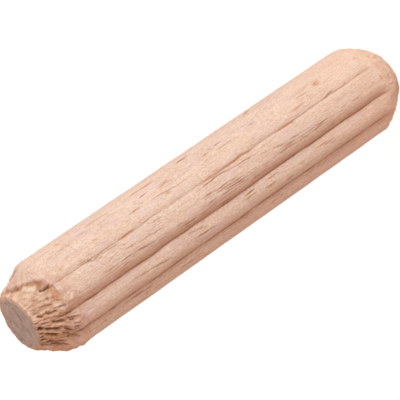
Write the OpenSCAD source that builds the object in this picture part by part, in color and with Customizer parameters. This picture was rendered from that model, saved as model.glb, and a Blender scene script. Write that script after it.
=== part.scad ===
// Fluted dowel pin: a beech rod, pressed with glue flutes and cut to length, that joins two boards.
// Millimetres. The pin stands on its cleaner sawn end, with its axis on Z and its centre at the origin.

/* [Pin] */
// Diameter over the lands, which is the size of the hole that the pin fits
pin_d = 8; // [6:0.5:16]
// Length from one sawn face to the other
pin_l = 40; // [24:1:80]

/* [Flutes] */
// Number of glue flutes pressed round the pin
flute_count = 10; // [6:1:12]
// Depth of the deepest flute below the lands
flute_depth = 0.45; // [0.42:0.01:0.5]
// How far off centre the rod ran through the fluting die, which left its +X side pressed lightly
press_offset = 0.2; // [0:0.01:0.2]
// Angle between the two walls of a flute
flute_angle = 102; // [80:1:110]
// Radius that eases each shoulder of the deepest flute, where its wall meets the land
shoulder_r = 0.5; // [0.1:0.05:0.6]

/* [Ends] */
// Diameter of each sawn end face
face_d = 4.9; // [3:0.1:5.2]
// Angle of each tapered lead-in, measured from the pin's axis
taper_angle = 33; // [25:1:45]
// Radius that blends a taper into the shank
blend_r = 2.5; // [1:0.1:2.8]

/* [Torn grain] */
// Number of splinters that the cutter tore out of the upper taper
tear_count = 36; // [0:1:48]
// Length of the longest torn pocket
tear_l = 1.6; // [0.8:0.1:1.8]
// Width of the widest torn pocket
tear_w = 0.55; // [0.2:0.05:0.7]
// Depth of the deepest torn pocket, at its broken end
tear_depth = 0.3; // [0.1:0.02:0.4]
// Angle by which the tears lean away from the grain, the way the cutter turned
tear_lean = 22; // [0:1:30]

/* [Hidden] */

$fn = 96;
pin_r = pin_d / 2;
face_r = face_d / 2;
overcut = 1;                      // how far a cutter runs past the surface that it opens
crossing = 4;                     // small angle at which a shoulder's arc cuts the land
shoulder_steps = 5;               // straight bands in each eased shoulder

// Length of a tapered end, blend and cone together
taper_l = (blend_r + cos(taper_angle) * (pin_r - blend_r - face_r)) / sin(taper_angle);
// Length of the plain conical stretch, along its own slope
cone_l = (pin_r - blend_r * (1 - cos(taper_angle)) - face_r) / sin(taper_angle);

// Points on an arc about a centre, from one angle to another
function arc(centre, r, from, to, steps) =
    [for (i = [0:steps]) let (a = from + (to - from) * i / steps) centre + r * [cos(a), sin(a)]];

// The same points on the other side of the line x = 0, in reverse order
function mirrored(points) =
    [for (i = [len(points) - 1:-1:0]) [-points[i].x, points[i].y]];

// Fractional part of i times an irrational step: an even but irregular spread over 0 to 1
function spread(i, step) = i * step - floor(i * step);

// Half of the pin's long section: x is the radius and y runs along the pin.
// The corner between shank and cone is taken off by an arc that touches both.
module long_section() {
    corner_y = pin_l / 2 - (pin_r - face_r) / tan(taper_angle);
    blend_centre = [pin_r - blend_r, pin_l / 2 - taper_l];
    blend_end = blend_centre + blend_r * [cos(taper_angle), sin(taper_angle)];
    difference() {
        polygon([[0, -pin_l / 2], [face_r, -pin_l / 2], [pin_r, -corner_y],
                 [pin_r, corner_y], [face_r, pin_l / 2], [0, pin_l / 2]]);
        for (end = [0, 1])
            mirror([0, end])
                difference() {
                    polygon([blend_centre, [pin_r, blend_centre.y], [pin_r, corner_y], blend_end]);
                    translate(blend_centre)
                        circle(blend_r);
                }
    }
}

// Cross-section of one flute, on +Y: two straight walls that meet in a crease, and the
// eased shoulders that lead out to the lands. A shallow flute is a small copy of a deep one.
module flute_section(depth) {
    wall_angle = flute_angle / 2;
    eased_r = shoulder_r * depth / flute_depth;
    crease = pin_r - depth;
    centre_r = sqrt(pow(pin_r, 2) + pow(eased_r, 2) - 2 * pin_r * eased_r * cos(crossing));
    centre_angle = wall_angle + asin((eased_r - crease * sin(wall_angle)) / centre_r);
    outward = [sin(centre_angle), cos(centre_angle)];
    shoulder = arc(centre_r * outward, eased_r, 180 - wall_angle, 90 - centre_angle, shoulder_steps);
    right_side = concat([[0, crease]], shoulder, [(pin_r + overcut) * outward]);
    polygon(concat(right_side, mirrored(right_side)));
}

// All the flutes, pressed along the whole pin. The first one faces +X.
module flutes() {
    for (i = [0:flute_count - 1]) {
        turn = 360 * i / flute_count;
        rotate(turn - 90)
            linear_extrude(pin_l + 2 * overcut, center = true)
                flute_section(flute_depth - press_offset * (1 + cos(turn)));
    }
}

// The bed of one torn splinter, lying along X: a groove with one steep wall and one gentle one.
// It dives from just above the surface at x = 0 to its full depth at the blunt, broken end.
module torn_pocket(length, width, depth) {
    head_start = 0.15 * depth;
    wall_h = depth + overcut;
    mouth = width * wall_h / depth;
    translate([0, 0, head_start])
        rotate([0, 90 + atan((depth + head_start) / length), 0])
            linear_extrude(length)
                polygon([[0, 0], [-wall_h, 0.3 * mouth], [-wall_h, -0.7 * mouth]]);
}

// The splinters missing from the rough upper taper, spread round it at uneven steps
module torn_grain() {
    for (i = [0:1:tear_count - 1]) {
        size = 0.6 + 0.4 * spread(i, 0.755);
        room = max(0, cone_l - tear_l * size);
        along = room * spread(i, 0.618);
        rotate(360 * (i + 0.3 + 0.5 * spread(i, 0.382)) / tear_count)
            translate([face_r + along * sin(taper_angle), 0, pin_l / 2 - along * cos(taper_angle)])
                rotate([0, 90 - taper_angle, 0])
                    rotate(-tear_lean)
                        torn_pocket(tear_l * size, tear_w * size, tear_depth * size);
    }
}

module dowel_pin() {
    color([0.86, 0.71, 0.60])
        difference() {
            rotate_extrude() long_section();
            flutes();
            torn_grain();
        }
}

dowel_pin();
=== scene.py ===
# %% [markdown]
# # A fluted beech dowel pin
# A dowel pin is a short beech rod that joins two boards. Glue flutes are pressed along it, both ends are
# tapered to lead into the drilled holes, and the cutter that made one of the tapers was blunt: it tore
# the grain. This lesson dresses the plain solid with the real surface of the wood.

# %% Load the frame
import math

import bpy
import numpy as np
from mathutils import Matrix, Vector


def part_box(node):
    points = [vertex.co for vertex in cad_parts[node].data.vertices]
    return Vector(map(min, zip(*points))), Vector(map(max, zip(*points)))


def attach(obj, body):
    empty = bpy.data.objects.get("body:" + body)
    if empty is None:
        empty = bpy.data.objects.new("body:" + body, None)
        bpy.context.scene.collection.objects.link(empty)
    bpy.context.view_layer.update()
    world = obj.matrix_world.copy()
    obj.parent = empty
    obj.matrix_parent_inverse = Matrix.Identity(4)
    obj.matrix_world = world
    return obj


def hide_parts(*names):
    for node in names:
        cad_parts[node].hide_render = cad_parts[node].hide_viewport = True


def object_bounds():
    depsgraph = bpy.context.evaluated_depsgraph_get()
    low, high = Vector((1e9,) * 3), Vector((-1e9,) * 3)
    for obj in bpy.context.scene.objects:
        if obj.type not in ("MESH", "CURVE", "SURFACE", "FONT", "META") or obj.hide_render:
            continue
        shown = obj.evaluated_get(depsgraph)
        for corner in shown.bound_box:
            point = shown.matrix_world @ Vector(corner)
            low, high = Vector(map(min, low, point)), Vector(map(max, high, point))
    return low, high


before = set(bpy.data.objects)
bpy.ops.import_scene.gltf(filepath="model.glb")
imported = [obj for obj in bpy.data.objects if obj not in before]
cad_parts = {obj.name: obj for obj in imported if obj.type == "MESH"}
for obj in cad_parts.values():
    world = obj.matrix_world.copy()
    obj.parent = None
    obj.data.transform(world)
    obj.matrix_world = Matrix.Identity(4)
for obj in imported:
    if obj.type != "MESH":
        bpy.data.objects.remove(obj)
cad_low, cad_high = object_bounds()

MM = 0.001
low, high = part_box("dowel_pin")
pin_length = (high.z - low.z) / MM
pin_radius = (high.y - low.y) / MM / 2
print(f"the pin is {pin_length:.2f} mm long and {2 * pin_radius:.2f} mm across its lands")

# %% [markdown]
# ## The grid
# The whole skin is one surface of two parameters: the turn round the axis, in degrees from +X, and the
# distance down the pin from its torn end, in millimetres. A cylinder with a bump map would be quicker,
# but torn wood has real ledges that show on the outline, so every row and column is real geometry.
# Rows lie close together where the grain is torn and further apart on the plain shank.

# %% Rows and columns
COLUMNS = 420
TORN_ROWS = 76
SCARRED_ROWS = 44
SHANK_ROWS = 84
CLEAN_ROWS = 24
TORN_TO = 3.4  # where each stretch ends, in mm down the pin
SCARRED_TO = 6.6
SHANK_TO = pin_length - 3.4
column_turns = np.arange(COLUMNS) * 360 / COLUMNS - 270
row_places = np.concatenate([
    np.linspace(0, TORN_TO, TORN_ROWS, endpoint=False),
    np.linspace(TORN_TO, SCARRED_TO, SCARRED_ROWS, endpoint=False),
    np.linspace(SCARRED_TO, SHANK_TO, SHANK_ROWS, endpoint=False),
    np.linspace(SHANK_TO, pin_length, CLEAN_ROWS),
])
turn, down = np.meshgrid(column_turns, row_places)
angle = np.radians(turn)
from_clean = pin_length - down
print(f"{len(row_places)} rows of {COLUMNS} points make the side")

# %% [markdown]
# ## Noise
# Wood is irregular at every size, so several steps below need the same thing: random numbers that blend
# smoothly from place to place. Blender has such a noise for materials, but the shape needs it too, so it
# is written out here. It works in solid space, and not on the unrolled surface, so that there is no seam
# where the grid closes.

# %% Soft noise


def lattice(ix, iy, iz, seed):
    """One random number from 0 to 1 for each whole-number point of space, by mixing its digits."""
    h = ix * 374761393 + iy * 668265263 + iz * 1442695041 + seed * 1013904223
    h = (h ^ (h >> 13)) & 0xFFFFFFFF
    h = (h * 1274126177) & 0xFFFFFFFF
    return ((h ^ (h >> 16)) & 0xFFFF) / 65535.0


def soft_noise(x, y, z, seed):
    """Value noise from -1 to 1: lattice numbers, blended by 3t^2 - 2t^3 along each axis in turn."""
    x, y, z = np.broadcast_arrays(x, y, z)
    ix, iy, iz = (np.floor(v).astype(np.int64) for v in (x, y, z))
    fx, fy, fz = (v - np.floor(v) for v in (x, y, z))
    fx, fy, fz = (f * f * (3 - 2 * f) for f in (fx, fy, fz))
    total = np.zeros(x.shape)
    for dx in (0, 1):
        for dy in (0, 1):
            for dz in (0, 1):
                weight = (fx if dx else 1 - fx) * (fy if dy else 1 - fy) * (fz if dz else 1 - fz)
                total += weight * lattice(ix + dx, iy + dy, iz + dz, seed)
    return 2 * total - 1


def fibre_noise(width, length, seed):
    """Soft noise over the side, in blobs of that width across the grain and that length along it, in mm."""
    across_x = pin_radius * np.cos(angle) / width
    across_y = pin_radius * np.sin(angle) / width
    return soft_noise(across_x, across_y, down / length, seed)


sample = fibre_noise(0.7, 3, 11)
print(f"soft noise over the side runs from {sample.min():.2f} to {sample.max():.2f}")

# %% [markdown]
# ## The long profile
# A cutter like a pencil sharpener makes each end: a cone, then an arc that blends it into the shank.
# A bevel on a cylinder would look alike, but the formula lets each row know its own radius. The sizes
# are those of the solid, so that the skin and the solid agree.

# %% Profile of the tapered ends
FACE_RADIUS = 2.45
TAPER = math.radians(33)
BLEND = 2.5
taper_length = (BLEND + math.cos(TAPER) * (pin_radius - BLEND - FACE_RADIUS)) / math.sin(TAPER)


def profile(from_face):
    """Radius at a distance from the nearer sawn face: the face's radius plus that distance times the
    cone's slope, until the arc of the blend takes over and ends level with the shank."""
    cone = FACE_RADIUS + from_face * math.tan(TAPER)
    arc_height = np.clip(taper_length - from_face, 0, BLEND * math.sin(TAPER))
    arc = pin_radius - BLEND + np.sqrt(BLEND**2 - arc_height**2)
    on_cone = from_face < taper_length - BLEND * math.sin(TAPER)
    return np.where(on_cone, cone, np.where(from_face < taper_length, arc, pin_radius))


radius = profile(np.minimum(down, from_clean))
print(f"each taper is {taper_length:.2f} mm long")

# %% [markdown]
# ## Ends that aren't quite true
# The rod wobbled in the cutter, so neither end is a perfect cone. The torn end was cut a little off
# centre. The clean taper is a little rounder on one side and flatter on the other, and its last edge is
# rubbed off. A few soft bumps, each a tent or a half wave of the two parameters, give all of this.

# %% Uneven ends


def tent(value, middle, half_width):
    """1 at the middle, falling evenly to 0 at half_width on either side of it."""
    return np.clip(1 - np.abs(value - middle) / half_width, 0, 1)


off_centre = 0.1 * np.cos(angle + math.radians(58)) - 0.05
radius = radius + off_centre * tent(down, 0, 1.6)
fullness = 0.1 - 0.2 * tent(turn, -145, 50)
radius = radius + fullness * np.sin(np.pi * np.clip(from_clean / 1.8, 0, 1))
radius = radius - 0.08 * tent(from_clean, 0, 0.5)
print(f"the torn rim runs from {radius[0].min():.2f} to {radius[0].max():.2f} mm from the axis")

# %% [markdown]
# ## The flutes
# Teeth in a die press the flutes before the ends are cut, so a flute keeps its depth and simply runs
# out where the taper dips below it. Wood springs back at the shoulders: a flute is a sharp crease with
# walls that ease out into the lands. The rod ran off centre, so the flutes on one side are faint.
# Cutting them with booleans would leave hard edges, so each one only lowers the radius near its crease.

# %% Where the flutes lie
# Turn of each crease from +X, and its depth in mm, going round from the faint side
FLUTES = [
    (0, 0.01), (36, 0.03), (72, 0.15), (108, 0.34), (144, 0.44),
    (180, 0.22), (-143, 0.44), (-109.5, 0.45), (-72, 0.08), (-36, 0.01),
]
FLUTE_SPREAD = 1.7  # half width of a flute in mm, for each root of a mm of its depth
CREASE_SHADE_HALF_WIDTH = 0.11
SHADED_WALL_WIDTH = 0.85


def smooth_step(low_end, high_end, value):
    """0 below low_end, 1 above high_end, and 3t^2 - 2t^3 between them."""
    t = np.clip((value - low_end) / (high_end - low_end), 0, 1)
    return t * t * (3 - 2 * t)


run_out = smooth_step(1.6, 3.6, from_clean)  # the clean taper has pressed the flutes' ends flat
wander = 1.5 * fibre_noise(5, 5, 3) + 0.8 * fibre_noise(3, 1.8, 6)  # in degrees
print(f"{len(FLUTES)} creases wander by up to {np.abs(wander).max():.1f} degrees")

# %% Press the flutes
flute_cut = np.zeros(down.shape)
crease = np.zeros(down.shape)
dust = np.zeros(down.shape)
for centre, depth in FLUTES:
    away = (turn - centre + wander + 180) % 360 - 180
    aside = np.abs(np.radians(away) * pin_radius)
    pressed = depth * run_out * (1 + 0.06 * fibre_noise(3, 4, 4))
    flute_cut = np.maximum(flute_cut, pressed * tent(aside, 0, FLUTE_SPREAD * math.sqrt(depth)) ** 1.7)
    # A dark line painted along each crease is painted shade, for the shade deep in the fold
    crease_shade_line = tent(aside, 0, CREASE_SHADE_HALF_WIDTH) * min(1, 8 * depth - 0.1)
    crease = np.maximum(crease, crease_shade_line * run_out)
    # One wall of each flute, on the side of greater turn, gets painted shade, and hairline cracks gather
    # there
    shaded_wall = np.clip(1.25 - aside / SHADED_WALL_WIDTH, 0, 1) * np.clip(1.3 - aside / SHADED_WALL_WIDTH, 0, 1)
    dust = np.maximum(dust, shaded_wall * (away > 0) * min(1, 2.2 * depth) * run_out)
side = np.minimum(radius, pin_radius - flute_cut)
crease = crease * smooth_step(-0.03, 0.02, radius - side)
crease = crease * np.clip(0.85 + 0.6 * fibre_noise(0.6, 1.2, 5), 0.35, 1)
print(f"the deepest flute is {flute_cut.max():.2f} mm deep")

# %% [markdown]
# ## Raised fibres
# A dowel is never smooth: bundles of fibres stand a few hundredths of a millimetre proud, in long thin
# ridges. Two noises stretched along the grain, one broad and one fine, give both. On the clean taper the
# cutter rubbed across the grain and left it woolly, so two rounder noises are added there.

# %% Relief of the fibres
side = side + 0.014 * fibre_noise(0.7, 3, 11) + 0.012 * fibre_noise(0.22, 1.0, 12)
woolly = smooth_step(3.6, 1.6, from_clean)
for size, height, seed in ((1.0, 0.13, 13), (0.4, 0.09, 14)):
    wool = soft_noise(
        np.cos(angle) * 5 / size, np.sin(angle) * 5 / size,
        down / 0.45 / size + 3 * np.sin(angle + 2.2), seed)
    side = side + height * woolly * wool * (0.35 + 0.65 * smooth_step(0.2, 1.2, from_clean))
print(f"the woolly band is {(woolly[:, 0] > 0.5).sum()} rows wide")

# %% [markdown]
# ## The torn end
# A blunt cutter lifts splinters and breaks them off. What is left looks like roof shingles laid along
# the grain, but leaning the way that the cutter turned. Sculpting them one by one would take days, so
# the surface is cut into leaning cells, and each one gets its own depth and its own tilt. The largest
# tears are then listed one by one.

# %% Leaning cells
TEAR_LEAN = math.radians(22)
TORN_RADIUS = 3.3  # mean radius of the torn taper, which turns angles into mm
arc = angle * TORN_RADIUS
along = down * math.cos(TEAR_LEAN) - arc * math.sin(TEAR_LEAN)
across = down * math.sin(TEAR_LEAN) + arc * math.cos(TEAR_LEAN)


def strip_of(width, seed):
    """Which leaning strip each point lies in, and how far across it, from 0 to 1."""
    bent = across / width + 0.7 * fibre_noise(1.3, 1.8, seed) + 0.2 * fibre_noise(0.4, 0.8, seed + 9)
    strip = np.floor(bent).astype(np.int64)
    return strip, bent - strip


def shingles(cell_length, cell_width, seed):
    """Depth from 0 to 1 of leaning cells. Each one has a random depth, slopes down towards the side of
    greater turn by a random amount, and dips towards its broken end."""
    strip, share = strip_of(cell_width, seed)
    shifted = along / cell_length + 3 * lattice(strip, strip * 0, strip * 0, seed + 1)
    row = np.floor(shifted).astype(np.int64)
    own = lattice(strip, row, row * 0, seed + 2)
    tilt = lattice(strip, row, row * 0, seed + 3)
    return 0.5 * own + 0.3 * tilt * share**2 + 0.2 * (shifted - row)


rough = 0.78 * shingles(1.3, 0.44, 31) + 0.22 * shingles(0.6, 0.22, 41)
print(f"the cells are {rough.min():.2f} to {rough.max():.2f} of their full depth")

# %% [markdown]
# ## Where the tearing stops
# The torn ring isn't even: a shell of smooth wood still overhangs it on one side, and on the other the
# tears run far down the taper. Its edge is a line of distances at given turns, made ragged by the
# cells, and at each turn it has its own slope, from a sharp broken lip to a gentle run-out.

# %% Edge of the torn bed
# Turn, and how far down the pin the grain is torn there, in mm
EDGE = [
    (-270, 2.4), (-230, 1.9), (-190, 2.6), (-160, 2.8), (-146, 3.0), (-132, 2.7), (-118, 3.0),
    (-106, 2.5), (-89, 2.55), (-78, 2.45), (-72, 2.5), (-69, 2.25), (-62, 2.15), (-56, 2.05),
    (-48, 1.55), (-40, 1.15), (-29, 0.75), (-15, 0.5), (-8, 0.6), (2, 1.6), (50, 2.0), (90, 2.4),
]
# Turn, and the length in mm over which the edge slopes down there
SLOPE = [
    (-110, 0.9), (-90, 0.5), (-82, 0.1), (-70, 0.07), (-64, 0.3), (-56, 0.65),
    (-48, 0.5), (-41, 0.35), (-38, 0.2), (-15, 0.2), (5, 0.3), (30, 0.5),
]
edge = np.interp(turn, *zip(*EDGE))
strip, _ = strip_of(0.3, 51)
jags = lattice(strip, strip * 0, strip * 0, 52) - 0.5
edge = edge + 0.5 * jags * smooth_step(-80, -100, turn)
slope = np.interp(turn, *zip(*SLOPE))
torn = smooth_step(0, 1, (edge - down) / slope)
print(f"the grain is torn down to {edge.min():.1f} mm at least and {edge.max():.1f} mm at most")

# %% Cut the torn bed
wild = np.clip(smooth_step(-62, -92, turn) + smooth_step(-20, 20, turn), 0.45, 1)  # calmer under the lip
shallow = smooth_step(-0.4, 0.5, down)  # less is torn out beside the sawn face
# The calm bed is fairly flat, 0.1 to 0.3 mm deep, and the cells of the wild one go down to 0.4 mm
side = side - torn * shallow * (0.2 - 0.17 * wild + 0.4 * rough * wild)
# The ring is fuller near its rim, and hollow further down, on two opposite sides
one_side = tent(turn, 14, 40)
side = side + one_side * (0.34 * smooth_step(1.4, 0.8, down) - 0.14 * tent(down, 1.9, 0.8))
other_side = tent(turn, -178, 45)
side = side + other_side * (0.16 * tent(down, 0.8, 0.8) - 0.12 * tent(down, 2.2, 0.6))
side = side - torn * 0.014 * (1 + fibre_noise(0.12, 0.5, 61))
print(f"the thinnest place of the torn end is {side[down < TORN_TO].min():.2f} mm from the axis")

# %% [markdown]
# ## Splits and shards
# Between the splinters the wood has split open. A split is a groove with one steep and one gentle wall,
# because the shard beside it was levered up from one side. The ones that anyone would notice are listed
# one by one. On the half of the pin that faces away, a seeded random draw places them.

# %% One split
ragged = 0.05 * fibre_noise(0.35, 0.35, 71) + 0.03 * fibre_noise(0.15, 0.2, 72)
STEEP_SHARE = 0.26  # of a split's width, the rest being its gentle wall


def split(start_turn, start_down, end_turn, end_down, width, depth):
    """How deep one torn split is, and how much painted shade lies in it. It is a groove along the line from
    start to end. u is the share of the line that lies behind, and v the distance beside it. Across the line
    the depth falls evenly to 0, fast on the steep side and slowly on the gentle one. Along it the depth
    fades in over a quarter and out over a fifth. The deeper the split, the darker its painted shade."""
    run_arc = math.radians(end_turn - start_turn) * TORN_RADIUS
    run_down = end_down - start_down
    length = math.hypot(run_arc, run_down)
    aside = (angle - math.radians(start_turn)) * TORN_RADIUS
    ahead = down - start_down
    u = (aside * run_arc + ahead * run_down) / length**2
    v = (aside * run_down - ahead * run_arc) / length + ragged
    fade = np.clip(u * 4, 0, 1) * np.clip((1 - u) * 5, 0, 1)
    steep = 1 - v / (STEEP_SHARE * width)
    gentle = 1 + v / ((1 - STEEP_SHARE) * width)
    wall = fade * np.clip(np.where(v > 0, steep, gentle), 0, 1)
    return depth * wall, smooth_step(0.15, 0.8, wall) * min(1, depth / 0.28)


print(f"a split's steep wall takes {STEEP_SHARE:.0%} of its width")

# %% The listed splits
# The turn and distance down of each split's start and end, its width and its depth
splits = [
    (-8, 0.42, -26, 0.7, 0.25, 0.14),    # under the lip of the smooth shell
    (-20, 0.6, -37, 1.0, 0.26, 0.2),
    (-36, 1.0, -43, 1.25, 0.22, 0.08),
    (-41.5, 1.2, -49.5, 1.65, 0.2, 0.16),
    (-48.5, 1.55, -59, 2.0, 0.25, 0.14),
    (-63, 1.55, -67.5, 1.95, 0.35, 0.25),  # under the nib
    (-66, 1.7, -69, 2.35, 0.3, 0.3),
    (-91, 0.4, -98, 0.85, 0.4, 0.2),      # the warm fibres above the second flute
    (-92, 1.0, -101, 1.45, 0.35, 0.2),
    (-98, 1.4, -100, 1.8, 0.3, 0.2),
    (-79, 0.5, -86, 1.4, 0.4, 0.1),
    (-109, 1.0, -117, 2.05, 0.4, 0.22),   # the long splinters below it
    (-110, 0.1, -119, 0.6, 0.6, 0.34),
    (-117, 0.4, -128, 1.7, 0.5, 0.34),
    (-113, 1.9, -118, 2.9, 0.25, 0.12),
    (-117, 2.2, -120, 2.6, 0.25, 0.2),
    (-126, 1.7, -133, 2.3, 0.4, 0.28),
    (-128, 2.3, -130, 2.9, 0.3, 0.18),
    (-128, 0.4, -137, 1.45, 0.55, 0.32),
    (-121, 1.3, -127, 2.2, 0.3, 0.15),
    (-140, 1.85, -144, 2.15, 0.25, 0.25),
    (-142, 2.1, -151, 2.9, 0.3, 0.14),
    (-147.5, 0.1, -151, 1.8, 0.55, 0.4),
    (-147, 0.02, -148, 0.42, 0.5, 0.4),
    (-147.5, 0.5, -149, 1.1, 0.5, 0.42),
    (-159, 0.55, -157, 0.05, 0.45, 0.36),  # run backwards, so that the steep wall is on the other side
    (-160, 1.9, -157.5, 0.5, 0.5, 0.36),
    (-84, 0.15, -88, 0.7, 0.3, 0.1),
    (-100, 0.3, -105, 1.0, 0.3, 0.08),
    (-104, 1.2, -108, 1.9, 0.25, 0.07),
    (-106, 0.3, -110, 0.9, 0.3, 0.08),
    (-122, 0.9, -126, 1.5, 0.25, 0.18),
    (-123, 2.3, -125, 3.0, 0.2, 0.11),
    (-134, 1.5, -139, 2.2, 0.3, 0.22),
    (-136, 2.5, -138, 3.1, 0.2, 0.11),
    (-143, 0.3, -147, 1.0, 0.3, 0.1),
    (-145, 1.1, -148, 1.7, 0.25, 0.08),
    (-53, 0.4, -58.5, 0.8, 0.4, 0.08),
    (-67, 0.8, -73, 1.15, 0.4, 0.1),
    (-61, 1.1, -65, 1.45, 0.35, 0.08),
    (-77, 0.15, -82, 0.65, 0.4, 0.09),
    (-47, 0.25, -53, 0.5, 0.35, 0.06),
    (-61, 0.15, -68, 0.5, 0.4, 0.07),
    (-73, 0.9, -80, 1.5, 0.45, 0.07),      # flakes on the lit side
    (-77, 1.5, -84, 2.1, 0.45, 0.1),
    (-70, 0.25, -76, 0.8, 0.4, 0.06),
    (-82, 0.95, -90, 1.75, 0.45, 0.11),
    (-95, 1.9, -99, 2.5, 0.3, 0.2),
    (-101, 0.02, -105, 0.35, 0.3, 0.1),    # notches in the rim of the sawn face
    (-112, 0.03, -115, 0.35, 0.3, 0.16),
    (-122, 0.02, -126, 0.45, 0.35, 0.18),
    (-132, 0.02, -135, 0.4, 0.3, 0.3),
    (-139, 0.02, -142, 0.5, 0.35, 0.3),
    (-146, 0.9, -151, 1.75, 0.3, 0.25),    # fine comb where the tears end
    (-108, 2.1, -111, 2.8, 0.18, 0.1),
    (-111, 2.3, -113.5, 3.0, 0.16, 0.1),
    (-131, 2.2, -134, 2.9, 0.2, 0.14),
    (-135, 1.2, -140, 1.8, 0.25, 0.08),
]
print(f"{len(splits)} splits are placed by hand")

# %% More splits on the far half
# The turns of the grid run from -270 to 90, so each split is also placed one whole turn back
FAR_SPLITS = 34
rng = np.random.default_rng(7)
for _ in range(FAR_SPLITS):
    at = rng.uniform(0, 185)
    reach = rng.uniform(0.7, 1.6)
    start = rng.uniform(0.1, 1.2)
    width = rng.uniform(0.3, 0.5)
    depth = rng.uniform(0.15, 0.3)
    lean = math.degrees(math.tan(TEAR_LEAN)) / TORN_RADIUS * reach
    for whole_turn in (0, -360):
        splits.append((at + whole_turn, start, at + whole_turn - lean, start + reach, width, depth))
print(f"{FAR_SPLITS} splits are placed by the random draw")

# %% Cut the splits
gap = np.zeros(down.shape)
stain = np.zeros(down.shape)
for numbers in splits:
    groove, shade = split(*numbers)
    gap = np.maximum(gap, groove)
    stain = np.maximum(stain, shade)
side = side - gap
print(f"the deepest split is {gap.max():.2f} mm deep")

# %% [markdown]
# ## The lip and the rims
# The overhanging shell ends in a small beak, where one bundle of fibres held longest. Just past the torn
# edge the surface is bruised and lumpy, and the saw chipped the rim of the face. The beak is a bump of
# two parabolas, and the rest is noise that fades out.

# %% Beak, bruises and chips
beak = np.clip(1 - ((turn + 60.5) / 5) ** 2, 0, 1) * np.clip(1 - ((down - 2.05) / 0.32) ** 2, 0, 1)
side = side + 0.16 * beak
near_edge = smooth_step(2.2, 0.2, down - edge) * (1 - torn)
side = side + near_edge * (0.07 * fibre_noise(0.22, 0.3, 91) + 0.12 * fibre_noise(0.5, 0.45, 93))
chips = 0.07 * soft_noise(np.cos(angle) * 4, np.sin(angle) * 4, 0 * angle, 92)
side = side + chips * tent(down, 0, 0.4)
print(f"the chips are up to {np.abs(chips).max():.2f} mm deep")

# %% [markdown]
# ## Cracks and specks along the shank
# Pressing the flutes opens short hairline cracks along the grain, and the wood has specks of its own.
# Each is a thin line with soft, wavering sides. A noise alone gives only even wood, so two lists hold
# the ones that anyone would notice: dark open cracks, and warm ones where the wood is only stained.

# %% One mark
waver = 0.07 * fibre_noise(1.5, 0.9, 81) + 0.04 * fibre_noise(0.25, 0.3, 83)


def mark(start_turn, start_down, end_turn, end_down, half_width):
    """A thin mark along the line from start to end: 1 on the line, falling evenly to 0 at half_width
    beside it, and fading in and out over 15% of its length. A noise makes its sides waver."""
    run_arc = math.radians(end_turn - start_turn) * pin_radius
    run_down = end_down - start_down
    length = math.hypot(run_arc, run_down)
    aside = np.radians((turn - start_turn + 180) % 360 - 180) * pin_radius
    ahead = down - start_down
    u = (aside * run_arc + ahead * run_down) / length**2
    off = (aside * run_down - ahead * run_arc) / length + waver
    return tent(off, 0, half_width) * smooth_step(0, 0.15, u) * smooth_step(1, 0.85, u)


print(f"a mark's sides waver by up to {np.abs(waver).max():.2f} mm")

# %% The listed marks
# The turn and distance down of each mark's start and end, and its half width
dark_marks = [
    (-53, 10.7, -55, 14.5, 0.07), (-55, 14, -58, 17.6, 0.07), (-26, 18.2, -26, 19.2, 0.1),
    (-44, 25, -44, 25.7, 0.12), (-66, 4.6, -74, 5.8, 0.1), (-72, 5.6, -78, 7.2, 0.1),
    (-78, 17, -75, 20, 0.08), (-74, 18.5, -81, 24, 0.08), (-88, 17, -89, 21, 0.08),
    (-91, 18, -93, 24, 0.08), (-94, 19, -96, 24.5, 0.08), (-97, 17, -97, 22, 0.08),
    (-92, 25, -93, 32, 0.08), (-84, 24.5, -93, 27, 0.08), (-88, 26, -90, 30.5, 0.08),
    (-95, 24, -96, 31, 0.08), (-86, 9, -88, 13, 0.07), (-93, 6, -96, 12, 0.07),
    (-120, 8, -124, 12.5, 0.08), (-122, 15, -124, 18, 0.08), (-140, 18.8, -143, 19.5, 0.16),
    (-138, 11, -141, 14, 0.1), (-148, 8, -148, 10.5, 0.08), (-151, 3.5, -152, 5.6, 0.08),
    (-73, 5.6, -82, 6, 0.09), (-71, 5.1, -70, 5.9, 0.1),
    (-70, 5.8, -74, 6.3, 0.1), (-73.5, 6.3, -75, 9, 0.08), (-101, 17, -100.5, 20.5, 0.08),
    (-100, 20.5, -97, 23, 0.08), (-113, 14.5, -118, 16.5, 0.08), (-107, 18.6, -106.5, 19.3, 0.2),
    (-139, 18.8, -139.5, 19.3, 0.22), (-71.5, 31.5, -68.5, 33, 0.09),
    (-70, 22, -74.5, 23.5, 0.09),
]
warm_marks = [
    (-22.5, 5.3, -30, 5.6, 0.08), (-29, 5.6, -44, 5.8, 0.07), (-43, 5.8, -60, 5.9, 0.07),
    (-72, 17.5, -72, 24, 0.12), (-20, 26, -14, 26.8, 0.2), (-29, 12.5, -29, 15.6, 0.14),
    (-59, 14.9, -59, 15.5, 0.16), (-72, 9, -72, 11, 0.15), (-72, 26, -72, 28.5, 0.15),
    (-48, 32.2, -48, 32.9, 0.2), (-127, 24.8, -129, 25.8, 0.2), (-30, 8, -31, 10.5, 0.09),
    (-43, 20, -43, 21, 0.15), (-63, 28, -63, 30, 0.15), (-23.5, 18, -26, 19, 0.12),
    (-27, 15, -32.5, 15.5, 0.1), (-58, 15, -59.5, 15.3, 0.14), (-50, 32, -51, 33, 0.12),
    (-72, 19, -71, 22.5, 0.12), (-46, 37, -58, 37, 0.12),
    (-56, 3.7, -65.5, 3.7, 0.06), (-85.5, 37.5, -93, 37.5, 0.08), (-103, 38, -107.5, 39.3, 0.08),
]
print(f"{len(dark_marks)} dark and {len(warm_marks)} warm marks are placed by hand")

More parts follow.
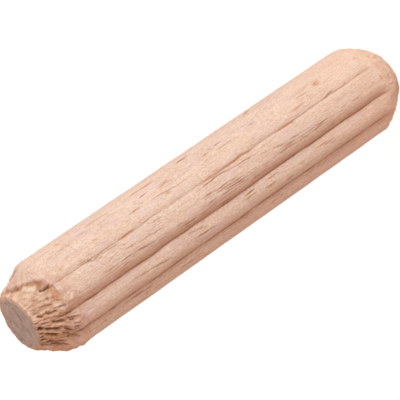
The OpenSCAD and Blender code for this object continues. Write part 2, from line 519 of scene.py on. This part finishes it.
# %% Short cracks in bands
# Middle turn and half width of each band, its first and last place, and how many cracks it has
BANDS = [
    (-45, 9, 9, 30, 10), (-97, 7, 4, 36, 16), (-118, 6, 4, 34, 9), (-148, 5, 4, 26, 7), (110, 80, 3, 36, 40),
]
DARK_CHANCE = 0.6
rng = np.random.default_rng(11)
for middle, spread, first, last, count in BANDS:
    for _ in range(count):
        at = middle + spread * rng.uniform(-1, 1)
        start = rng.uniform(first, last)
        drift = rng.uniform(-1, 1)
        reach = rng.uniform(0.4, 1.8)
        half_width = rng.uniform(0.07, 0.09)
        chosen = dark_marks if rng.random() < DARK_CHANCE else warm_marks
        chosen.append((at, start, at + drift, start + reach, half_width))
print(f"with the bands there are {len(dark_marks)} dark and {len(warm_marks)} warm marks")

# %% Draw the marks
dark_line = np.zeros(down.shape)
warm_line = np.zeros(down.shape)
for numbers in dark_marks:
    dark_line = np.maximum(dark_line, mark(*numbers))
for numbers in warm_marks:
    warm_line = np.maximum(warm_line, mark(*numbers))
patchy = np.clip(0.6 + 0.7 * fibre_noise(0.3, 0.8, 82), 0, 1)  # a crack opens and closes along its length
dark_line = dark_line * patchy
warm_line = warm_line * patchy
side = side - 0.02 * dark_line * (down > 3)  # on the shank a dark crack is a little open
print(f"the marks cover {((dark_line > 0.1) | (warm_line > 0.1)).mean():.1%} of the grid")

# %% [markdown]
# ## Where the colour changes
# Torn wood isn't one colour. It is palest where a splinter has just come off, orange at the end of the warm
# fibres, and rosy where it is bruised. Shade is painted on too: orange brown on the broken wall under the
# lip, brown in the splits and hollows, and darker along the creases of the flutes and on their shaded walls.
# These places follow the shape, so each one is worked out here on the grid and carried by the mesh as a
# value at each vertex. A noise in the material couldn't know where they are.

# %% Fields for the material
pale_patch = smooth_step(0, 0.7, mark(-39, 0.8, -61, 1.5, 0.3))
side = side + 0.1 * pale_patch * torn  # the palest torn wood lies a little higher
pale_bed = smooth_step(0, 0.8, mark(-28, 0.35, -66, 0.8, 0.7))
# Painted shade, orange brown, on the broken wall under the lip
shaded_broken_wall = np.maximum(mark(-34, 0.75, -64, 2.0, 0.5), mark(0, 0.35, -38, 0.85, 0.3))
ruddy_band = smooth_step(-94, -88, turn) * smooth_step(-71, -77, turn)
# Painted shade in the deep cells of the torn bed, made weaker past a turn of -122 to -135 degrees
calm_shade = 1 - 0.6 * smooth_step(-122, -135, turn)
fields = {
    "torn": torn,
    "hollow": torn * smooth_step(0.3, 0.85, rough) * wild * calm_shade,
    "ledge": smooth_step(0.05, 0.6, shaded_broken_wall) * smooth_step(-0.1, 0.15, torn),
    "pale": np.maximum(0.75 * pale_patch, 0.22 * pale_bed) * torn,
    "ruddy": smooth_step(0.65, 0.3, edge - down) * ruddy_band * torn,
    "woolly": woolly,
    "mellow": smooth_step(15, 2, from_clean),
    "rosy": near_edge * np.clip(0.5 + fibre_noise(0.5, 0.45, 94), 0, 1),
    "dust": dust,
    "crease": crease,
    "warm_line": warm_line,
    "dark_line": dark_line,
    # Painted shade in the splits, and a painted shadow line along the darkest of the long tears
    "stain": np.maximum(stain, mark(-155, 0.1, -160, 2.1, 0.2)),  # with the darkest of the long tears
    "sawn": np.zeros(down.shape),
}
for name, values in fields.items():
    print(f"{name}: up to {values.max():.2f}")

# %% [markdown]
# ## One closed skin
# The side is closed at both ends by rings that shrink to a point on each sawn face, so that the piece
# is one watertight skin, as the solid is. A flat cap of one many-sided face would do too, but rings give
# the end grain vertices of its own.

# %% Points of the skin
FACE_RINGS = 4  # on each sawn face, between its rim and its middle
shares = np.linspace(1, 0, FACE_RINGS + 2)[1:-1, None]
rows_radius = np.concatenate([side[:1] * shares[::-1], side, side[-1:] * shares])
rows_height = np.concatenate([
    np.full((FACE_RINGS, COLUMNS), pin_length / 2),
    pin_length / 2 - down,
    np.full((FACE_RINGS, COLUMNS), -pin_length / 2),
])
rows_angle = np.broadcast_to(np.radians(column_turns), rows_radius.shape)
points = np.stack([rows_radius * np.cos(rows_angle), rows_radius * np.sin(rows_angle), rows_height], -1)
poles = np.array([[0, 0, pin_length / 2], [0, 0, -pin_length / 2]])
vertices = np.concatenate([points.reshape(-1, 3), poles]) * MM
print(f"{len(vertices)} vertices")

# %% Faces of the skin
row_count = len(points)
index = np.arange(row_count * COLUMNS).reshape(row_count, COLUMNS)
upper = index[:-1]
lower = index[1:]
quads = np.stack([upper, lower, np.roll(lower, -1, 1), np.roll(upper, -1, 1)], -1).reshape(-1, 4)
top = row_count * COLUMNS
bottom = top + 1
top_fan = np.stack([np.full(COLUMNS, top), index[0], np.roll(index[0], -1)], -1)
bottom_fan = np.stack([np.full(COLUMNS, bottom), np.roll(index[-1], -1), index[-1]], -1)
mesh = bpy.data.meshes.new("fluted_pin")
mesh.from_pydata(vertices.tolist(), [], quads.tolist() + top_fan.tolist() + bottom_fan.tolist())
mesh.polygons.foreach_set("use_smooth", np.ones(len(mesh.polygons), bool))
print(f"{len(mesh.polygons)} faces, {2 * len(quads) + 2 * COLUMNS} triangles")

# %% Values at the vertices
for name, values in fields.items():
    on_face = 1.0 if name == "sawn" else 0.0
    rings = np.full((FACE_RINGS, COLUMNS), on_face)
    at_vertices = np.concatenate([rings.ravel(), values.ravel(), rings.ravel(), [on_face, on_face]])
    layer = mesh.attributes.new(name, "FLOAT", "POINT")
    layer.data.foreach_set("value", at_vertices.astype(np.float32))
pin = bpy.data.objects.new("fluted_pin", mesh)
bpy.context.scene.collection.objects.link(pin)
print(f"the mesh carries {len(fields)} fields")

# %% [markdown]
# ## Colours and nodes
# A material is a tree of nodes. It could be made by hand in the shader editor, but in code it can be
# read and changed at one place. One function turns a colour code to the linear numbers that Blender
# works with, and one adds a node with its settings and links. The rest is a matter of which nodes.

# %% Two helpers


def colour(hex_code):
    """Linear colour from an sRGB hex code: each channel below 0.04 is divided by 12.92, and above it
    (channel + 0.055) / 1.055 is raised to 2.4."""
    channels = [int(hex_code[i:i + 2], 16) / 255 for i in (1, 3, 5)]
    return [c / 12.92 if c < 0.04045 else ((c + 0.055) / 1.055) ** 2.4 for c in channels] + [1]


def add(tree, kind, inputs, output=0, stops=(), **settings):
    """Adds one node and gives one of its outputs, or the node itself where it has none. An input is a
    value, or another node's output, which is linked. Stops are the places and colours of a colour ramp."""
    node = tree.nodes.new(kind)
    for name, value in settings.items():
        setattr(node, name, value)
    for key, value in inputs.items():
        if isinstance(value, bpy.types.NodeSocket):
            tree.links.new(value, node.inputs[key])
        else:
            node.inputs[key].default_value = value
    for number, (place, value) in enumerate(stops):
        elements = node.color_ramp.elements
        element = elements[number] if number < len(elements) else elements.new(place)
        element.position = place
        element.color = value
    return node.outputs[output] if node.outputs else node


BLACK = (0, 0, 0, 1)
WHITE = (1, 1, 1, 1)
print("linear colour of pale beech:", [round(c, 3) for c in colour("#EECBB7")])

# %% [markdown]
# ## Plain beech
# Beech is pale, pinkish and even, with fine brown flecks along the grain where the rays are cut. Planed
# or pressed and left unfinished, it is matt: it scatters light and has hardly any gloss. Its colour is
# laid down in thin layers, as a painter glazes: an even tone, fine streaks, short fuzz, a blush and the
# flecks. Everything is worked out from the object's own coordinates in millimetres, so that the grain
# runs along the pin and has its real size. The finest vessels of beech, under 0.08 mm, would be too fine
# to show, so the streaks and flecks are drawn at about 0.1 mm.

# %% The tree and its grain
beech = bpy.data.materials.new("beech")
beech.use_nodes = True
tree = beech.node_tree
tree.nodes.clear()
here = add(tree, "ShaderNodeTexCoord", {}, "Object")
# A mix node has sockets of several kinds under one name, so those for colours are picked by number
SHARE = 0
UNDER = 6
OVER = 7
MIXED = 2


def grain(width, length, detail, roughness=0.5):
    """Noise from 0 to 1, in blobs of that width across the grain and that length along it, in mm: the
    object's coordinates are divided by those sizes."""
    scale = (1 / MM / width, 1 / MM / width, 1 / MM / length)
    scaled = add(tree, "ShaderNodeMapping", {"Vector": here, "Scale": scale})
    return add(
        tree, "ShaderNodeTexNoise",
        {"Vector": scaled, "Scale": 1.0, "Detail": detail, "Roughness": roughness}, "Fac")


carried = {
    name: add(tree, "ShaderNodeAttribute", {}, "Fac", attribute_name=name) for name in fields
}
print(f"the material reads {len(carried)} fields")

# %% Layers of plain wood
wood = add(tree, "ShaderNodeValToRGB", {"Fac": grain(1.0, 3, 3)}, stops=[
    (0.3, colour("#E8C3AD")), (0.5, colour("#EECBB7")), (0.7, colour("#F3D4C3"))])
streaks = add(tree, "ShaderNodeValToRGB", {"Fac": grain(0.12, 0.6, 3, 0.7)}, stops=[
    (0.32, colour("#C8906C")), (0.5, colour("#F2CFBB")), (0.66, colour("#FFF0E4"))])
streak_share = add(tree, "ShaderNodeMapRange", {
    "Value": grain(1.5, 3.5, 1), "From Min": 0.35, "From Max": 0.65, "To Min": 0.12, "To Max": 0.36})
fuzz = add(tree, "ShaderNodeValToRGB", {"Fac": grain(0.1, 0.2, 3, 0.75)}, stops=[
    (0.36, colour("#CE9C7C")), (0.5, colour("#EFCCB7")), (0.62, colour("#FFF0E4"))])
blush = add(tree, "ShaderNodeValToRGB", {"Fac": grain(0.9, 2.2, 1)}, stops=[
    (0.5, BLACK), (0.68, (0.5, 0.5, 0.5, 1))])
fleck = add(tree, "ShaderNodeValToRGB", {"Fac": grain(0.09, 0.7, 2)}, stops=[
    (0.63, BLACK), (0.7, (0.45, 0.45, 0.45, 1))])
patch = add(tree, "ShaderNodeValToRGB", {"Fac": grain(1.3, 4, 1)}, stops=[
    (0.42, (0.1, 0.1, 0.1, 1)), (0.6, WHITE)])
fleck = add(tree, "ShaderNodeMath", {0: fleck, 1: patch}, operation="MULTIPLY")
plain_layers = [
    (streak_share, streaks), (0.4, fuzz), (blush, colour("#EBCCC4")), (fleck, colour("#A8663A")),
]
for share, tint in plain_layers:
    wood = add(tree, "ShaderNodeMix", {SHARE: share, UNDER: wood, OVER: tint}, MIXED, data_type="RGBA")
print(f"{len(plain_layers)} layers lie over the plain tone")

# %% [markdown]
# ## Hairline cracks
# The pressed wood is full of hairlines that run for millimetres along the grain, in bands. Where a
# stretched noise crosses its middle value, it draws just such a line, so the line needs no geometry.
# The wide ones gather on the rough walls of the flutes and in patches, and finer ones lie everywhere.

# %% Hairlines


def hairlines(width, length, thickness):
    """Thin wavering lines along the grain, drawn where a stretched noise crosses 0.5: 1 where it is
    within a third of thickness of it, falling to 0 where it is a whole thickness away."""
    level = add(tree, "ShaderNodeMath", {0: grain(width, length, 2), 1: 0.5}, operation="SUBTRACT")
    level = add(tree, "ShaderNodeMath", {0: level}, operation="ABSOLUTE")
    return add(tree, "ShaderNodeMapRange", {
        "Value": level, "From Min": thickness / 3, "From Max": thickness, "To Min": 1, "To Max": 0})


cracked = add(tree, "ShaderNodeValToRGB", {"Fac": grain(0.9, 5, 2)}, stops=[
    (0.52, BLACK), (0.64, (0.55, 0.55, 0.55, 1))])
cracked = add(tree, "ShaderNodeMath", {0: cracked, 1: carried["dust"]}, operation="MAXIMUM")
wide = add(
    tree, "ShaderNodeMath", {0: hairlines(0.34, 9, 0.02), 1: hairlines(0.2, 5, 0.022)},
    operation="MAXIMUM")
wide = add(tree, "ShaderNodeMath", {0: wide, 1: cracked}, operation="MULTIPLY")
wide = add(tree, "ShaderNodeMath", {0: wide, 1: 0.6}, operation="MULTIPLY")
fine = add(
    tree, "ShaderNodeMath", {0: hairlines(0.16, 5, 0.016), 1: hairlines(0.26, 12, 0.012)},
    operation="MAXIMUM")
fine_share = add(tree, "ShaderNodeValToRGB", {"Fac": grain(0.6, 2.5, 2)}, stops=[
    (0.4, (0.04, 0.04, 0.04, 1)), (0.65, (0.4, 0.4, 0.4, 1))])
fine = add(tree, "ShaderNodeMath", {0: fine, 1: fine_share}, operation="MULTIPLY")
for share, tint in ((wide, colour("#B05C2C")), (fine, colour("#B4683E"))):
    wood = add(tree, "ShaderNodeMix", {SHARE: share, UNDER: wood, OVER: tint}, MIXED, data_type="RGBA")
print("wide and fine hairlines are laid over the wood")

# %% [markdown]
# ## End grain
# Sawn across, wood shows the open ends of its vessels. They drink the light, so the face is greyer and
# darker than the side, with fine pores. The saw also tore a few pits and left one short crack, each an
# ellipse with its outline shaken by noise. They are flat, so colour alone is enough.

# %% Tone and pores of the sawn faces
end_grain = add(tree, "ShaderNodeValToRGB", {"Fac": grain(0.6, 0.6, 4, 0.65)}, stops=[
    (0.3, colour("#B29C93")), (0.5, colour("#C8B4AC")), (0.7, colour("#DAC7C0"))])
pores = add(tree, "ShaderNodeValToRGB", {"Fac": grain(0.16, 0.16, 2)}, stops=[
    (0.66, BLACK), (0.72, (0.6, 0.6, 0.6, 1))])
end_grain = add(
    tree, "ShaderNodeMix", {SHARE: pores, UNDER: end_grain, OVER: colour("#8A5F4A")}, MIXED,
    data_type="RGBA")
print("the sawn faces have pores, drawn 0.16 mm apart")

# %% Pits of the sawn faces
# Pits and a short crack: place in mm, turn of the long way, and half of its length and width
PITS = [
    ((2.0, -1.2), 20, 0.2, 0.12), ((1.35, -0.5), 60, 0.16, 0.12), ((0.75, -0.6), 8, 0.4, 0.07),
    ((0.3, -0.65), 8, 0.35, 0.06), ((-1.0, 1.45), 30, 0.14, 0.1), ((-1.75, 0.55), 0, 0.15, 0.12),
    ((-1.95, -0.35), 40, 0.12, 0.1), ((0.6, 1.25), 20, 0.12, 0.09), ((2.0, 0.1), 50, 0.14, 0.1),
]
SHAKE = 0.08 * MM
shaken = add(tree, "ShaderNodeTexNoise", {"Vector": here, "Scale": 1 / MM / 0.25, "Detail": 2.0}, "Color")
shaken = add(
    tree, "ShaderNodeVectorMath", {0: shaken, 1: (2 * SHAKE,) * 3, 2: (-SHAKE,) * 3},
    operation="MULTIPLY_ADD")
shaken = add(tree, "ShaderNodeVectorMath", {0: here, 1: shaken}, operation="ADD")
pitted = 0.0
for (x, y), turned, half_length, half_width in PITS:
    reach = add(tree, "ShaderNodeMapping", {
        "Vector": shaken, "Location": (x * MM, y * MM, 0), "Rotation": (0, 0, math.radians(turned)),
        "Scale": (half_length * MM, half_width * MM, 1)}, vector_type="TEXTURE")
    reach = add(tree, "ShaderNodeVectorMath", {0: reach, 1: (1, 1, 0)}, operation="MULTIPLY")
    reach = add(tree, "ShaderNodeVectorMath", {0: reach}, "Value", operation="LENGTH")
    pit = add(tree, "ShaderNodeMapRange", {
        "Value": reach, "From Min": 1.2, "From Max": 0.3, "To Max": 0.8})
    pitted = add(tree, "ShaderNodeMath", {0: pitted, 1: pit}, operation="MAXIMUM")
end_grain = add(
    tree, "ShaderNodeMix", {SHARE: pitted, UNDER: end_grain, OVER: colour("#6A4432")}, MIXED,
    data_type="RGBA")
print(f"{len(PITS)} pits mark each sawn face")

# %% [markdown]
# ## Torn, bruised and marked wood
# Every field that the mesh carries now gets its colour. Later layers cover earlier ones, so the order
# matters: torn wood first, with the painted shade in its hollows and on its broken wall, then what else lies
# in it, the bruises, the painted shade of the flutes, the dark lines, the painted shade of the splits, and
# the sawn faces last. Torn fibres are more orange than pressed ones, because they are rough and the light
# goes in deep.

# %% Layers that follow the shape
torn_tone = add(tree, "ShaderNodeValToRGB", {"Fac": grain(0.35, 0.8, 3, 0.55)}, stops=[
    (0.35, colour("#D6A182")), (0.5, colour("#E7BA9E")), (0.65, colour("#F3D0BA"))])
lint = add(tree, "ShaderNodeValToRGB", {"Fac": grain(0.5, 0.35, 2)}, stops=[
    (0.38, colour("#E8B594")), (0.58, colour("#FCDECB"))])
# The field, how much of the layer shows where the field is 1, and the layer's colour
shape_layers = [
    ("torn", 1.0, torn_tone),
    ("hollow", 0.34, colour("#A86E44")),
    ("ledge", 0.7, colour("#BE8254")),
    ("pale", 1.0, colour("#FFE8CF")),
    ("ruddy", 0.65, colour("#CF9068")),
    ("woolly", 0.45, lint),
    ("mellow", 0.28, colour("#F9CBAD")),
    ("rosy", 0.5, colour("#DCA48C")),
    # painted shade on the wall of each flute on the side of greater turn
    ("dust", 0.5, colour("#C08C6C")),
    # painted shade along the creases
    ("crease", 1.0, colour("#986044")),
    ("warm_line", 1.0, colour("#C0702E")),
    ("dark_line", 1.0, colour("#9A4A16")),
    # painted shade in the splits
    ("stain", 0.78, colour("#723C14")),
    ("sawn", 1.0, end_grain),
]
for name, most, tint in shape_layers:
    share = add(tree, "ShaderNodeMath", {0: carried[name], 1: most}, operation="MULTIPLY")
    wood = add(tree, "ShaderNodeMix", {SHARE: share, UNDER: wood, OVER: tint}, MIXED, data_type="RGBA")
print(f"{len(shape_layers)} layers follow the shape")

# %% [markdown]
# ## The finish
# The wood is raw: no oil, no lacquer. Its index of refraction is that of cellulose, about 1.5. A high
# roughness and a low specular level give it its dry look. The finest fibres could be in the mesh too,
# but they would need millions of faces, so a bump of fine noise along the grain shows them.

# %% Finish the material
relief = add(tree, "ShaderNodeBump", {
    "Strength": 1.0, "Distance": 0.1 * MM, "Height": grain(0.1, 0.35, 4, 0.65)})
surface = add(tree, "ShaderNodeBsdfPrincipled", {
    "Base Color": wood, "Normal": relief, "Roughness": 0.72, "IOR": 1.5, "Specular IOR Level": 0.2})
add(tree, "ShaderNodeOutputMaterial", {"Surface": surface})
mesh.materials.append(beech)
print(f"beech is made of {len(tree.nodes)} nodes")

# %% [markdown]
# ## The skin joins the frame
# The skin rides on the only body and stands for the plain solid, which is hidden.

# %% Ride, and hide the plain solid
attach(pin, "root")
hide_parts("dowel_pin")
print("the skin stands for the plain solid")

# %% [markdown]
# ## Floor
# The pin stands on a plain white board. To the camera the board is as white as the room, with the pin's
# soft shadow on it, and to the pin it is plain matt white. Light Path tells the two apart. The board lies
# a hundredth of a millimetre below the pin's foot, so that the two flat faces don't flicker together.

# %% The white board
BOARD_HALF = 3.0
board_height = cad_low.z - 0.01 * MM
floor_mesh = bpy.data.meshes.new("floor")
corners = [(x * BOARD_HALF, y * BOARD_HALF, board_height) for x, y in ((-1, -1), (1, -1), (1, 1), (-1, 1))]
floor_mesh.from_pydata(corners, [], [(0, 1, 2, 3)])
floor = bpy.data.objects.new("floor", floor_mesh)
bpy.context.scene.collection.objects.link(floor)
white_board = bpy.data.materials.new("white_board")
white_board.use_nodes = True
board = white_board.node_tree
board.nodes.clear()
seen = add(board, "ShaderNodeLightPath", {}, "Is Camera Ray")
matt = add(board, "ShaderNodeBsdfDiffuse", {"Color": colour("#F8F8F8")})
shadowed = add(board, "ShaderNodeBsdfDiffuse", {"Color": (0.24, 0.27, 0.29, 1)})
glow = add(board, "ShaderNodeEmission", {"Color": WHITE, "Strength": 0.87})
bright = add(board, "ShaderNodeAddShader", {0: shadowed, 1: glow})
chosen = add(board, "ShaderNodeMixShader", {0: seen, 1: matt, 2: bright})
add(board, "ShaderNodeOutputMaterial", {"Surface": chosen})
floor_mesh.materials.append(white_board)
print(f"the board is {2 * BOARD_HALF:.0f} m wide")

# %% [markdown]
# ## Light
# The bright room gives an even, warm light from everywhere, and one long soft lamp, a little cooler,
# stands beside the pin at its own height. It draws the flutes: one wall of each is lit and the other
# falls into shade. A sun lamp would give the same direction, but with hard edges.

# %% The bright room
world = bpy.data.worlds.new("bright_room")
bpy.context.scene.world = world
world.use_nodes = True
room = world.node_tree
room.nodes.clear()
seen = add(room, "ShaderNodeLightPath", {}, "Is Camera Ray")
fill = add(room, "ShaderNodeBackground", {"Color": (0.69, 0.54, 0.455, 1), "Strength": 1.0})
sheet = add(room, "ShaderNodeBackground", {"Color": WHITE, "Strength": 1.0})
chosen = add(room, "ShaderNodeMixShader", {0: seen, 1: fill, 2: sheet})
add(room, "ShaderNodeOutputWorld", {"Surface": chosen})
print("the room is white to the camera and warm to the pin")

# %% The soft lamp


def toward(azimuth, elevation):
    """Unit vector towards an azimuth from +X and an elevation, in degrees: the cosine of the elevation
    goes to x and y by the azimuth's cosine and sine, and its sine goes to z."""
    a = math.radians(azimuth)
    e = math.radians(elevation)
    return Vector((math.cos(a) * math.cos(e), math.sin(a) * math.cos(e), math.sin(e)))


def aim(obj, place, target, roll=0.0):
    """Puts an object at place, with its -Z axis towards target, and turns it by roll degrees about
    that axis."""
    turned = (target - place).to_track_quat("-Z", "Y").to_matrix().to_4x4()
    obj.matrix_world = Matrix.Translation(place) @ turned @ Matrix.Rotation(math.radians(roll), 4, "Z")


lamp_data = bpy.data.lights.new("soft_box", "AREA")
lamp_data.shape = "RECTANGLE"
lamp_data.size = 0.9
lamp_data.size_y = 0.12
lamp_data.energy = 7.5
lamp_data.color = (0.7, 0.92, 1.0)
lamp = bpy.data.objects.new("soft_box", lamp_data)
bpy.context.scene.collection.objects.link(lamp)
aim(lamp, toward(-40, 4) * 1.0, Vector((0, 0, 0)))
print(f"the lamp stands {lamp.matrix_world.translation.length:.1f} m away")

# %% [markdown]
# ## Camera
# A long lens keeps the pin's far end almost as large as its near end. The camera looks down on the torn
# end and is rolled, so that the pin, which stands upright, lies slantwise across the view.

# %% A rolled camera with a long lens
CAMERA_DISTANCE = 0.1768
camera_data = bpy.data.cameras.new("camera")
camera_data.lens = 196.8
camera_data.sensor_width = 36
camera_data.clip_start = 0.01
camera = bpy.data.objects.new("camera", camera_data)
bpy.context.scene.collection.objects.link(camera)
target = Vector((0.043, 0.415, 0.765)) * MM
aim(camera, target + toward(-88, 28.35) * CAMERA_DISTANCE, target, roll=-124.66)
bpy.context.scene.camera = camera
bpy.context.scene.view_settings.view_transform = "Standard"
print(f"the camera is {camera.matrix_world.translation.length * 1000:.0f} mm from the pin's middle")
